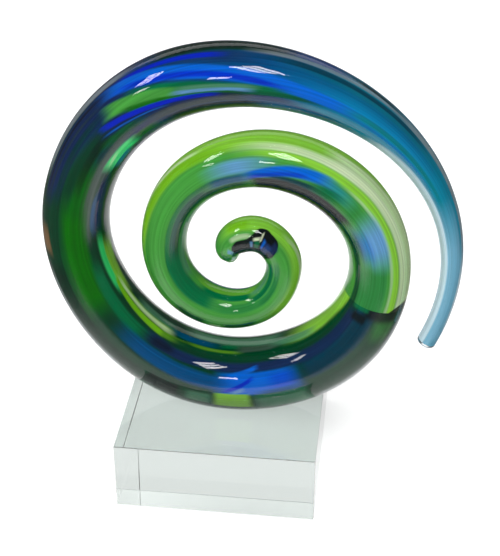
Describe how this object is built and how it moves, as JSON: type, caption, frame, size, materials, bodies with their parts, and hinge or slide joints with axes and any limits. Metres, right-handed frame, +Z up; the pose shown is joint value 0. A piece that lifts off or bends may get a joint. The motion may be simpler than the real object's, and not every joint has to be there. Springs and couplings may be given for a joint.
{
  "type": "koru spiral glass sculpture",
  "caption": "Koru spiral of cased glass in lime, emerald, cobalt and aqua, a tapered rod coiled from tail to eye and bonded upright on a clear crystal block.",
  "frame": {"origin": "middle of the crystal block's underside, on the table", "axes": "+Z up, +X to the right and +Y to the back, so the broad side of the coil faces -Y"},
  "size_m": [0.1614, 0.08, 0.1878],
  "materials": {
    "clear_crystal": "flat polished optical crystal",
    "clear_adhesive": "clear cured adhesive",
    "clear_glass": "fire polished clear glass",
    "aqua_glass": "transparent aqua glass",
    "emerald_glass": "transparent emerald glass",
    "lime_glass": "translucent lime glass",
    "cobalt_glass": "transparent cobalt glass",
    "milk_glass": "milky white glass"
  },
  "bodies": {
    "root": {"base_block": "clear_crystal", "adhesive_bond": "clear_adhesive", "clear_casing": "clear_glass", "aqua_core": "aqua_glass", "emerald_core": "emerald_glass", "lime_core": "lime_glass", "cobalt_ribbon_front": "cobalt_glass", "cobalt_ribbon_inner": "cobalt_glass", "cobalt_ribbon_belly": "cobalt_glass", "cobalt_ribbon_back": "cobalt_glass", "lime_ribbon_front": "lime_glass", "lime_ribbon_inner": "lime_glass", "cobalt_lining": "cobalt_glass", "milk_ribbon": "milk_glass"}
  },
  "joints": []
}
